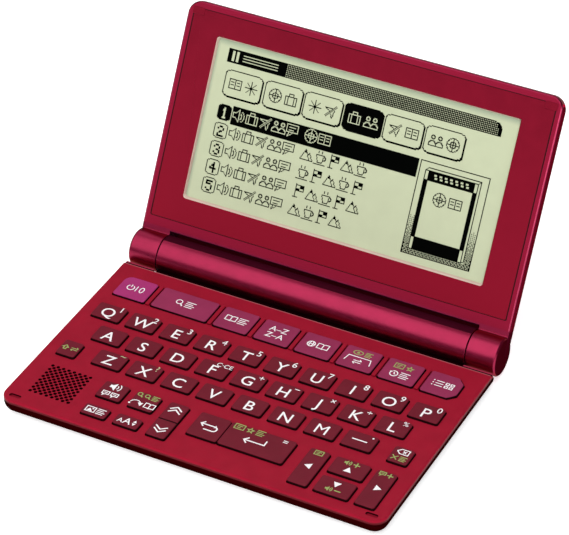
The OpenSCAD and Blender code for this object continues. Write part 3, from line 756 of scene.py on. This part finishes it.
# %% [markdown]
# ## Keys
# A key cap has a lip that keeps it under the deck, straight walls and a small rounding at the top.
# It is lofted from a stack of outlines, each a little smaller and higher than the last. Its plan is
# the solid's own box less its lip, so the cap always fits its well.

# %% Key cap
key_lip = 0.5
key_lip_height = 0.4
cap_radius = 0.9
cap_rounding = 0.3
rounding_steps = 4
ink_lift = 0.02


def key_plan(node, lips=(1, 1)):
    """Left, front, right and back of a key above its lip, and its bottom and top heights."""
    low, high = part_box(node)
    return (low[0] / MM + key_lip * lips[0], low[1] / MM + key_lip,
            high[0] / MM - key_lip * lips[1], high[1] / MM - key_lip,
            low[2] / MM, high[2] / MM)


def cap_rings(plan, corners):
    """Stack of outlines from the lip up to the edge of the flat top."""
    left, front, right, back, bottom, top = plan
    rings = [flat_at(outline(left, front, right, back, corners), bottom + key_lip_height)]
    for step in range(rounding_steps + 1):
        angle = math.pi / 2 * step / rounding_steps
        inset = cap_rounding * (1 - math.cos(angle))
        height = top - cap_rounding * (1 - math.sin(angle))
        rings.append(flat_at(outline(left, front, right, back, corners, -inset), height))
    return rings


def print_legend(sheet, shapes, finish, height):
    """Lays ink on a key, each shape a hair above the last so that none share a plane."""
    for i, shape in enumerate(shapes):
        sheet.face(flat_at(shape, height + ink_lift + 0.0004 * (i % 12)), finish)


def build_key(node, legends, finishes, corners=None, lips=(1, 1), sink=0.0, narrow=0.0):
    """Makes a cap with its legends: a list of (ink number, shapes drawn about the key's centre)."""
    left, front, right, back, bottom, top = key_plan(node, lips)
    left, right, top = left + narrow, right - narrow, top - sink
    plan = (left, front, right, back, bottom, top)
    rings = cap_rings(plan, corners or [(cap_radius, 6)] * 4)
    sheet = Sheet()
    low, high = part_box(node)
    lip = outline(low[0] / MM, low[1] / MM, high[0] / MM, high[1] / MM, [(0.05, 1)] * 4)
    sheet.loft([flat_at(lip, bottom), flat_at(lip, bottom + key_lip_height)], 1)
    sheet.face(flat_at(lip, bottom + key_lip_height), 1)
    sheet.face(flat_at(lip, bottom)[::-1], 1)
    sheet.cap(rings)
    middle = ((left + right) / 2, (front + back) / 2)
    for ink, shapes in legends:
        print_legend(sheet, moved(shapes, *middle), ink, top)
    cap = sheet.make(node + "_cap", finishes, node)
    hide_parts(node)


WHITE, GREEN, PALE = 2, 3, 4
letter_finishes = [cap_top, cap_side_painted_shade, white_ink, green_ink, pale_ink]


def white(*row, **place):
    return WHITE, in_row(*row, **place)


def green(*row, **place):
    return GREEN, in_row(*row, **place)


# %% [markdown]
# ## The letter rows
# Three staggered rows hold the alphabet. A capital sits a little in front of the middle of its cap,
# with a small figure or sign in the back right corner. The two signs on the lowest row belong to
# the shift key, so they are a pale green.

# %% Letter keys
alphabet = "qwertyuiopasdfghjklzxcvbnm"
corner_signs = dict(zip("qwertyuiop", "1234567890"))
corner_signs.update(g="+", h="−", j="×", k="÷", l="%", z="~", x="?", f="C·CE")
capital_place = (4.55, -0.1, -0.5)  # height, and millimetres to the right and back
usual_place = (2.6, 3.6, 2.55)
sign_places = {"f": (1.9, 2.9, 2.8), "z": (2.6, 3.4, 3.4), "l": (2.1, 3.4, 2.7)}
for letter in alphabet:
    legends = [(WHITE, letters(letter.upper(), *capital_place))]
    if letter in corner_signs:
        ink = PALE if letter in "zx" else WHITE
        place = sign_places.get(letter, usual_place)
        legends.append((ink, letters(corner_signs[letter], *place)))
    build_key("key_" + letter, legends, letter_finishes)
build_key("key_dash", [(WHITE, stroke([(-2.7, 0), (2.7, 0)], 0.5)), (WHITE, disc(3.7, 2.7, 0.35))],
          letter_finishes)
print("letter keys:", len(alphabet) + 1)

# %% [markdown]
# ## The function row
# Eight flat magenta keys lie between ribs of the deck. The first has one large round corner and the
# last has two chamfers, because they follow the ends of the row. Where the real key has a green
# word over a white one, a green pictogram stands over a white one.

# %% Function keys
a_to_z, z_to_a = (filled(*letters(text, 2.6)) for text in ("A–Z", "Z–A"))
bridge = stroke([(-4.7, -2.4), (-4.1, 0.55), (4.1, 0.55), (4.7, -2.4)], ink_line)
functions = {
    "power": [white([power_mark, one_zero_mark], 3.1)],
    "lookup": [white([lens_mark, lines_mark], 3.1)],
    "book_1": [white([book_mark, lines_mark], 3.0)],
    "book_2": [(WHITE, in_row([a_to_z], 2.6, y=1.7) + in_row([z_to_a], 2.6, y=-1.8))],
    "book_3": [white([globe_mark, book_mark], 3.0)],
    "switch": [green([eye_mark, lines_mark], 2.3, y=2.7),
               (WHITE, bridge + in_row([swap_mark], 2.7, y=-1.9))],
    "history": [green([card_mark, star_mark], 2.5, y=2.5),
                white([clock_mark, lines_mark], 3.0, y=-1.9)],
    "menu": [white([menu_mark, grid_mark], 2.9)],
}
large_round, chamfer = (3.0, 14), (2.6, 1)
for name, legends in functions.items():
    corners = [(cap_radius, 6)] * 4
    if name == "power":
        corners[3] = large_round
    if name == "menu":
        corners[1] = corners[2] = chamfer
    top = power_top if name == "power" else function_top
    build_key("key_" + name, legends, [top, function_side_painted_shade, white_ink, green_ink], corners,
              sink=0.15, narrow=0.14)
print("function keys:", len(functions))

# %% [markdown]
# Between two function keys stands a red rib, almost as high as they are, with a dark gap on either
# side. It is the same loft as a key, only narrow, with a lit front end in the deck's red and walls
# painted dark as painted shade, and it stands halfway between the boxes of its neighbours.

# %% Ribs
rib_width = 1.55
rib_drop = 0.25
rib_corners = [(0.25, 3)] * 4
deck_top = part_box("key_deck")[1][2] / MM
row_boxes = [key_plan("key_" + name) for name in functions]
for number, (first, second) in enumerate(zip(row_boxes, row_boxes[1:]), 1):
    middle = (first[2] + second[0]) / 2
    plan = (middle - rib_width / 2, first[1], middle + rib_width / 2, first[3],
            deck_top - key_lip_height - 0.05, first[5] - rib_drop)
    rings = cap_rings(plan, rib_corners)
    rib = Sheet()
    rib.face(rings[0][::-1], 1)
    rib.cap(rings)
    for place, face in enumerate(rib.faces):
        if all(rib.corners[corner][1] < first[1] + 0.3 for corner in face):
            rib.finishes[place] = 0
    rib.make(f"rib_{number}", [deck_satin, function_side_painted_shade], "base")
print("ribs:", len(row_boxes) - 1, "top at", round(plan[5], 2))

# %% [markdown]
# ## The lower cluster
# In front of the letters lie the keys that steer the menu: sound, jump, figures, text size, back,
# enter and four arrows. They are wine-red like the letters. Back and enter meet at a thin slit, so
# neither has a lip on that side.

# %% Cluster keys
cluster = {
    "shift": [green([shift_mark, swap_mark], 2.3)],
    "delete": [white([erase_mark], 2.6, y=1.7),
               green([cross_mark, lines_mark], 2.2, y=-1.7)],
    "voice": [(WHITE, in_row([speaker_mark], 3.8, y=2.1)
               + in_row([talk_mark, talk_mark], 2.6, y=-2.1, gap=0.5))],
    "jump": [green([lens_mark, lens_mark, lines_mark], 2.2, y=2.5, gap=0.4),
             white([jump_mark, book_mark], 2.7, y=-1.7)],
    "figure": [white([picture_mark, lines_mark], 2.7, gap=0.5)],
    "text_size": [(WHITE, letters("A", 2.0, -2.5, -0.4) + letters("A", 2.9, 0.0, 0.0)
                   + in_row([step_mark], 2.8, 2.6))],
    "left": [(WHITE, triangle(-0.2, 0.3, 1.6, 180)),
             green([card_mark], 2.2, y=7.4)],
    "right": [(WHITE, triangle(0.2, 0.3, 1.6, 0)),
              green([talk_mark, plus_mark], 2.2, y=7.4, gap=0.4)],
    "up": [(WHITE, triangle(0, -1.2, 1.6, 90)),
           green([speaker_mark, plus_mark], 2.3, y=2.2)],
    "down": [(WHITE, triangle(0, 1.4, 1.6, 270)),
             green([speaker_mark, minus_mark], 2.3, y=-1.7)],
}
for name, legends in cluster.items():
    build_key("key_" + name, legends, letter_finishes)
build_key("key_back", [(WHITE, back_mark(0.5))], letter_finishes, lips=(1, 0))
build_key("key_enter", [(WHITE, moved(enter_mark(0.5), -1.0, 0)),
                        green([card_mark, star_mark, lines_mark], 2.6, -5.0, 4.4),
                        (WHITE, letters("=", 2.4, 8.3, 4.2))], letter_finishes, lips=(0, 1))
print("cluster keys:", len(cluster) + 2)

# %% [markdown]
# ## The page rocker
# One long cap rocks on two stub pivots, with a groove across its middle so that a thumb feels which
# end it is on. It is lofted like the keys, but in two halves with a sunk floor between them.

# %% Page rocker
def build_rocker(groove=0.3, groove_depth=0.35, pivot=0.25):
    low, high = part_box("page_rocker")
    left, right = low[0] / MM + key_lip, high[0] / MM - key_lip
    front, back = low[1] / MM, high[1] / MM
    bottom, top = low[2] / MM, high[2] / MM
    across, middle = (left + right) / 2, (front + back) / 2
    round_ends, square_ends = [(cap_radius, 6)] * 2, [(0.05, 1)] * 2
    sheet = Sheet()
    for start, end, corners in ((front, middle - groove, round_ends + square_ends),
                                (middle + groove, back, square_ends + round_ends)):
        rings = [flat_at(outline(left, start, right, end, corners), bottom)]
        rings += cap_rings((left, start, right, end, bottom, top), corners)[1:]
        sheet.cap(rings)
        sheet.face(rings[0][::-1], 1)
    floor = outline(left, middle - groove, right, middle + groove, square_ends * 2)
    sheet.loft([flat_at(floor, bottom), flat_at(floor, top - groove_depth)], 1)
    sheet.face(flat_at(floor, top - groove_depth), 1)
    for side, x in ((-1, left), (1, right)):
        ends = [[(x + side * reach, middle + pivot * math.cos(a), bottom + pivot + pivot * math.sin(a))
                 for a in [math.pi / 8 * i for i in range(16)]] for reach in (0.0, key_lip)]
        sheet.loft(ends[::side], 1)
        sheet.face(ends[1][::side], 1)
    for way, lift in ((1, 5.6), (-1, -5.2)):
        print_legend(sheet, moved(chevrons(way)(0.5), across, middle + lift), WHITE, top)
    rocker = sheet.make("page_rocker_cap", letter_finishes, "page_rocker")
    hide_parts("page_rocker")


build_rocker()

# %% [markdown]
# ## The display
# A reflective display is a grey-green film with dots that are either there or not. The dots could
# be an image, but a mesh of small quads stays sharp from any distance. They are set on a grid of 320
# by 160 with lines and boxes, as firmware would, and then merged so that the mesh stays small.

# %% Dot canvas
dots_wide, dots_high = 320, 160
dot_pitch = 0.3268
screen_left = -52.65
screen_top = 76.5


class Canvas:
    """A set of dark dots, with x to the right and y down from the top left."""

    def __init__(self):
        self.dark = set()

    def put(self, col, row, on=True):
        if on:
            self.dark.add((col, row))
        else:
            self.dark.discard((col, row))

    def box(self, x, y, wide, high, on=True):
        for row in range(y, y + high):
            for col in range(x, x + wide):
                self.put(col, row, on)

    def frame(self, x, y, wide, high, on=True):
        for sides in ((x, y, wide, 1), (x, y + high - 1, wide, 1), (x, y, 1, high),
                      (x + wide - 1, y, 1, high)):
            self.box(*sides, on)

    def blob(self, x, y, wide, high, corner, on=True):
        """Filled box with round corners."""
        for row in range(high):
            rise = max(corner - row, corner - (high - 1 - row), 0)
            inset = corner - round(math.sqrt(corner ** 2 - rise ** 2))
            self.box(x + inset, y + row, wide - 2 * inset, 1, on)

    def tone(self, x, y, wide, high, first, last):
        """Even pattern of dots, from one share of dark at the top to another at the bottom."""
        order = ((0, 8, 2, 10), (12, 4, 14, 6), (3, 11, 1, 9), (15, 7, 13, 5))
        for row in range(y, y + high):
            share = first + (last - first) * (row - y) / max(high - 1, 1)
            for col in range(x, x + wide):
                self.put(col, row, order[row % 4][col % 4] < 16 * share)

    def line(self, *ends, on=True):
        """Line from point to point, given as x, y, x, y and so on."""
        points = list(zip(ends[::2], ends[1::2]))
        for (x0, y0), (x1, y1) in zip(points, points[1:]):
            steps = max(abs(x1 - x0), abs(y1 - y0), 1)
            for i in range(steps + 1):
                self.put(round(x0 + (x1 - x0) * i / steps), round(y0 + (y1 - y0) * i / steps), on)

    def ring(self, x, y, radius, start=0, end=360, on=True):
        for degrees in range(start, end + 1, 4):
            a = math.radians(degrees)
            self.put(round(x + radius * math.cos(a)), round(y + radius * math.sin(a)), on)

    def sign(self, name, x, y, on=True):
        """Draws a pictogram from its top left corner."""
        draws = {"box": self.box, "frame": self.frame, "ring": self.ring}
        for part in signs[name]:
            if part[0] in draws:
                draws[part[0]](x + part[1], y + part[2], *part[3:], on=on)
            else:
                self.line(*(value + (x, y)[i % 2] for i, value in enumerate(part)), on=on)

    def digit(self, digit, x, y, on=True):
        for row, cells in enumerate(digit_rows[digit]):
            for col, cell in enumerate(cells):
                if cell == "#":
                    self.box(x + round(col * 1.5), y + round(row * 1.6), 2, 2, on)

    def runs(self):
        """Merges dots into rectangles: along each row first, then down equal rows."""
        spans = {}
        for row in range(dots_high):
            col = 0
            while col < dots_wide:
                if (col, row) not in self.dark:
                    col += 1
                    continue
                first = col
                while (col, row) in self.dark:
                    col += 1
                start = spans.get((first, col), {}).get(row - 1)
                spans.setdefault((first, col), {})[row] = row if start is None else start
        boxes = []
        for (first, last), rows in spans.items():
            tops = {}
            for row, start in rows.items():
                tops[start] = row + 1
            boxes.extend((first, start, last, end) for start, end in tops.items())
        return boxes


# %% [markdown]
# The menu shows what such a screen shows: a title bar, six tabs, five numbered lines with a
# loudspeaker and a row of pictograms, and a small book on the right. Digits are the only characters
# on it. A pictogram is a list of frames, boxes, rings and lines in a square of 15 dots. Bare numbers
# are a line from point to point.

# %% Screen pictograms
digit_rows = {
    "1": ("..#..", ".##..", "..#..", "..#..", "..#..", "..#..", ".###."),
    "2": (".###.", "#...#", "....#", "..##.", ".#...", "#....", "#####"),
    "3": (".###.", "#...#", "....#", "..##.", "....#", "#...#", ".###."),
    "4": ("...#.", "..##.", ".#.#.", "#..#.", "#####", "...#.", "...#."),
    "5": ("#####", "#....", "####.", "....#", "....#", "#...#", ".###."),
}

signs = {
    "sound": ((0, 5, 0, 10, 3, 10, 7, 14), (0, 5, 3, 5, 7, 1, 7, 14),
              ("ring", 6, 8, 4, -45, 45), ("ring", 6, 8, 7, -50, 50)),
    "case": (("frame", 0, 4, 14, 10), ("frame", 4, 1, 6, 4), (3, 4, 3, 13),
             (10, 4, 10, 13)),
    "plane": ((1, 12, 12, 1), (2, 13, 13, 2), (5, 7, 0, 4, 8, 4),
              (7, 10, 9, 14, 11, 6)),
    "talk": (("frame", 0, 1, 14, 9), (3, 10, 2, 14, 7, 10), (3, 4, 10, 4),
             (3, 7, 8, 7)),
    "people": (("ring", 3, 4, 2), ("ring", 3, 12, 4, 180, 360), (-1, 13, 7, 13),
               ("ring", 11, 4, 2), ("ring", 11, 12, 4, 180, 360), (7, 13, 15, 13)),
    "globe": (("ring", 7, 7, 7), (0, 7, 14, 7), (7, 0, 7, 14), ("ring", 7, 7, 3)),
    "book": (("frame", 0, 2, 8, 11), ("frame", 7, 2, 8, 11), (2, 5, 5, 5),
             (9, 5, 12, 5), (2, 8, 5, 8), (9, 8, 12, 8)),
    "star": ((7, 0, 7, 14), (0, 7, 14, 7), (2, 2, 12, 12),
             (12, 2, 2, 12)),
    "peaks": (("box", 5, 2, 1, 1), ("box", 5, 3, 2, 1), ("box", 4, 4, 3, 1), ("box", 4, 5, 4, 1),
              (0, 13, 5, 2, 10, 12), (8, 8, 10, 5, 14, 13),
              (0, 13, 14, 13)),
    "flag": ((3, 0, 3, 14), (1, 14, 6, 14), ("frame", 3, 1, 10, 7),
             ("box", 8, 2, 4, 3), ("box", 4, 5, 4, 2)),
    "cup": ((2, 4, 4, 12, 9, 12, 11, 4), (2, 4, 11, 4), (4, 0, 4, 2),
            (8, 0, 8, 2), ("ring", 11, 7, 2, -90, 90), (0, 14, 13, 14)),
}

# %% [markdown]
# The layout follows a dictionary's menu. The title bar is part black, part pattern, with a round
# corner. The tabs have a drop shadow, which is the same rounded box drawn twice, a dot apart. The
# chosen tab and line are inverted, and the small book on the right stands in a shaded frame.

# %% Screen layout
screen = Canvas()
screen.blob(40, 0, 279, 15, 8)
screen.box(40, 8, 279, 7)
screen.tone(69, 1, 247, 13, 0.72, 0.72)
for row in range(8):
    inset = 8 - round(math.sqrt(64 - (8 - row) ** 2))
    screen.box(315 - inset, row, 4, 1)
    screen.box(319 - inset, row, 12, 1, False)
screen.box(69, 0, 240, 1)
screen.box(315, 8, 4, 6)
screen.box(0, 0, 69, 15)
for x in (5, 10):
    screen.box(x, 2, 3, 11, False)
for row in (4, 7, 10):
    screen.box(18, row, 42, 1, False)

tab_signs = ("book", "globe", "star", "case", "plane", "people")
for tab, x in enumerate((2, 50, 97, 144, 191, 238)):
    chosen = tab == 3
    screen.blob(x + 1, 23, 45, 29, 5)
    screen.blob(x, 22, 45, 29, 5)
    if not chosen:
        screen.blob(x + 1, 23, 43, 27, 4, False)
    screen.sign(tab_signs[tab], x + 6, 29, not chosen)
    screen.sign(tab_signs[(tab + 2) % 6], x + 25, 29, not chosen)

for row, length in enumerate((2, 5, 5, 5, 4)):
    y = 60 + 20 * row
    chosen = row == 0
    screen.blob(2, y, 16, 17, 3)
    if chosen:
        screen.box(19, y - 1, 219, 20)
    else:
        screen.blob(3, y + 1, 14, 15, 2, False)
    screen.digit(str(row + 1), 6, y + 3, not chosen)
    for place, name in enumerate(("sound", "case", "plane", "people", "talk")):
        screen.sign(name, 20 + 16 * place, y, not chosen)
    words = ("globe", "book") if chosen else ("flag", "peaks", "cup")
    for place in range(length):
        screen.sign(words[(place + row) % len(words)], 106 + 16 * place, y, not chosen)

screen.frame(240, 59, 79, 100)
for side in (241, 311):
    screen.tone(side, 118, 7, 36, 0.15, 0.6)
screen.tone(241, 152, 77, 6, 0.6, 0.6)
screen.box(248, 65, 63, 88, False)
screen.frame(247, 68, 61, 85)
screen.line(247, 68, 250, 65, 310, 65, 310, 150)
screen.line(307, 68, 310, 65)
screen.line(307, 152, 310, 150)
screen.box(252, 68, 51, 11)
screen.box(252, 139, 51, 14)
for x in (247, 303):
    screen.box(x, 79, 5, 60)
    screen.frame(x, 68, 5, 11)
    screen.frame(x, 139, 5, 14)
for x in range(258, 296, 6):
    screen.box(x, 71, 3, 2, False)
    screen.box(x + 1, 74, 3, 2, False)
screen.sign("globe", 262, 88)
screen.sign("book", 280, 88)
dot_boxes = screen.runs()
print("dark dots:", len(screen.dark), "merged into", len(dot_boxes), "boxes")

# %% [markdown]
# The film is darker and greener where the frame shades it, along the top and the left. The frame is
# under a millimetre deep, so most of that shade is drawn into the finish. Round it runs the cut edge
# of the window, a thin chamfer painted pale as a painted highlight of the light it catches.

# %% Display pieces
film_colour = (0.526, 0.574, 0.383)
film_shade = (0.373, 0.439, 0.308)
film_depth = 1.36
dot_depth = 1.30
proud = 0.02
window_left, window_right = -57.72, 57.5
window_low, window_high = 21.15, 79.35
window_corner = [(1.0, 6)] * 4

film = plastic("display_film", film_colour, rough=0.5, grain_depth=0.0, drift=0.02, specular=0.1)
film_tree = film.node_tree
top_shade = ramp(film_tree, lid_measure(film_tree, lid_up), window_high - 3.0, window_high - 0.6,
                 "SMOOTHSTEP")
left_shade = ramp(film_tree, axes_of(film_tree)[0], window_left + 1.9, window_left + 0.5,
                  "SMOOTHSTEP")
paint_light_or_finish(film, math_node(film_tree, "MAXIMUM", top_shade, left_shade), film_shade, rough=0.5)
keep_plate("display", film, 0.0)
dot_ink = plastic("display_dots", (0.0012, 0.0014, 0.0012), rough=0.7, grain_depth=0.0,
                  specular=0.0)
# The window's chamfer is painted pale as a painted highlight.
window_edge_painted_highlight = plastic("window_edge_painted_highlight", (0.60, 0.44, 0.36), rough=0.45, grain_depth=0.0)


def on_display(sheet, name, finish, smooth=True):
    """Makes a piece that rides on the lid, in one finish."""
    sheet.make(name, [finish], "lid", smooth=smooth)


panel = Sheet()
panel.face(lid_face(rectangle(-57.52, 21.6, 57.52, window_high), film_depth))
on_display(panel, "display_panel", film, smooth=False)

dots = Sheet()
for x0, y0, x1, y1 in dot_boxes:
    dots.face(lid_face(rectangle(screen_left + x0 * dot_pitch, screen_top - y1 * dot_pitch,
                                 screen_left + x1 * dot_pitch, screen_top - y0 * dot_pitch),
                       dot_depth))
on_display(dots, "display_dots", dot_ink, smooth=False)

cut = Sheet()
cut.loft([lid_face(outline(*sides, window_corner), depth - proud) for sides, depth in (
    ((window_left, window_low, window_right, window_high), lid_face_depth),
    ((-57.5, 21.6, 57.5, 79.33), lid_face_depth),
    ((-57.2, 22.0, 57.2, 79.0), film_depth))])
on_display(cut, "window_edge", window_edge_painted_highlight)

# %% [markdown]
# ## The seam round the display's frame
# A thin, dark gap runs round the panel that frames the display, wider at the sides. Two small pads
# stand in its upper corners, towards the closed deck. The gap is a flat ring a few hundredths proud,
# because a real groove would have to be cut into the solids.

# %% Seam and pads
seam_dark = plastic("seam_dark", (0.030, 0.0012, 0.003), rough=0.6, specular=0.1)
panel_corners = [(0.6, 3), (0.6, 3), (2.5, 8), (2.5, 8)]
seam = Sheet()
seam.loft([lid_face(outline(*sides, panel_corners), lid_face_depth - proud)
           for sides in ((-68.78, 12.18, 68.78, 87.42), (-68.33, 12.40, 68.33, 87.22))])
on_display(seam, "frame_seam", seam_dark)

pad_steps = ((0.0, 0.49), (0.0, 0.38), (0.08, 0.31), (0.2, 0.30))  # inset and depth
for side, name in ((-1, "left"), (1, "right")):
    left, right = sorted((side * 64.4, side * 69.0))
    rings = [lid_face(outline(left, 85.0, right, 87.6, [(0.5, 4)] * 4, -inset), depth)
             for inset, depth in pad_steps]
    pad = Sheet()
    pad.loft(rings)
    pad.face(rings[-1])
    on_display(pad, "lid_pad_" + name, bezel_satin)

# %% [markdown]
# ## Floor and light
# The object stands on a plain pale floor in soft studio light. A large softbox hangs overhead and
# paints the long highlight on the barrel. Three weaker lights stand behind the object, at its right,
# where one draws a line along the lid's rim, and low in front.

# %% Studio
light_target = Vector((0.0, 0.0, 0.02))
for name, size, place, power in (("key_light", (1.4, 1.6), (-0.02, -0.43, 0.84), 13.6),
                                 ("back_light", (1.2, 0.6), (-0.30, 0.75, 0.85), 2.5),
                                 ("rim_strip", (0.25, 0.8), (1.0, -0.45, 0.14), 1.5),
                                 ("front_fill", (0.6, 0.3), (0.45, -0.85, 0.18), 0.5)):
    softbox = bpy.data.lights.new(name, "AREA")
    softbox.shape = "RECTANGLE"
    softbox.size, softbox.size_y = size
    softbox.energy = power
    add_object(name, softbox, place, (Vector(place) - light_target).to_track_quat("Z", "Y"))

world = bpy.data.worlds.new("studio_air")
world.use_nodes = True
air = world.node_tree.nodes["Background"].inputs
air["Color"].default_value = (0.9, 0.93, 1.0, 1.0)
air["Strength"].default_value = 0.12
bpy.context.scene.world = world
bpy.context.scene.view_settings.view_transform = "Standard"

floor_mesh = bpy.data.meshes.new("studio_floor")
floor_mesh.from_pydata(flat_at(rectangle(-3, -3, 3, 3), 0), [], [(0, 1, 2, 3)])
pale_floor = plastic("pale_floor", (0.94, 0.94, 0.94), rough=0.7, drift=0.01, grain_depth=0.0)
floor_light = pale_floor.node_tree.nodes["Principled BSDF"].inputs
floor_light["Emission Color"].default_value = (1.0, 1.0, 1.0, 1.0)
floor_light["Emission Strength"].default_value = 0.6
floor_mesh.materials.append(pale_floor)
studio_floor = add_object("studio_floor", floor_mesh)
